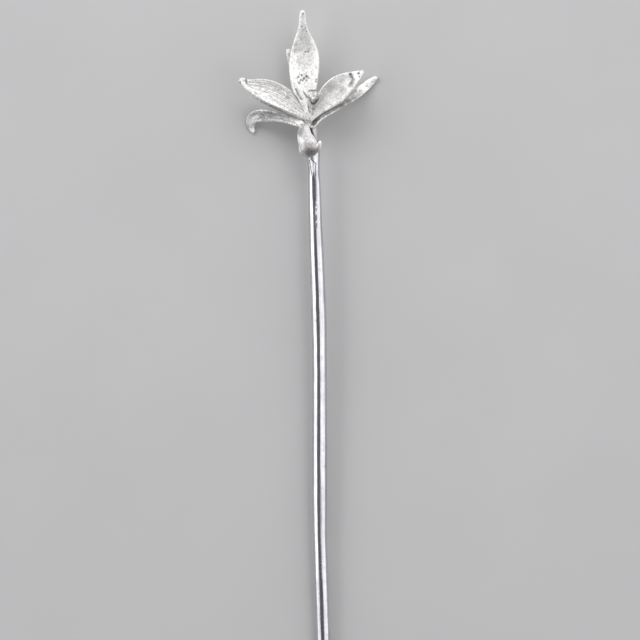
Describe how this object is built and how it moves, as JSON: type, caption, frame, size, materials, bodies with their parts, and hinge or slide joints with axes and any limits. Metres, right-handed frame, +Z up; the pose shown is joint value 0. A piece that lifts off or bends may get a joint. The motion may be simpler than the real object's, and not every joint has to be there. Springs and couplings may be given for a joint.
{
  "type": "kanzashi hairpin",
  "caption": "Silver hairpin with a long forged round pin, topped by an orchid flower of formed sheet metal with a bulging lip.",
  "frame": {"origin": "on the surface that the pin lies on, under the middle of the whole hairpin", "axes": "+Y along the pin from its point towards the flower's top, +Z up, the way the flower faces as it lies, +X to the right seen from the front"},
  "size_m": [0.03, 0.166, 0.01],
  "materials": {
    "polished_silver": "hand-polished silver with faint hammer and file marks",
    "frosted_silver": "frosted white silver, brushed lengthwise, with burnished bright rims",
    "satin_silver": "satin silver with fine brush lines, slightly greyer in the hollows"
  },
  "bodies": {
    "root": {"pin_shaft": "polished_silver", "sheath": "polished_silver", "pedicel": "satin_silver", "dorsal_sepal": "frosted_silver", "sepal_lobe": "frosted_silver", "left_petal": "frosted_silver", "right_petal": "frosted_silver", "left_sepal": "satin_silver", "right_sepal": "frosted_silver", "column": "satin_silver", "anther_cap": "satin_silver", "lip": "satin_silver"}
  },
  "joints": []
}
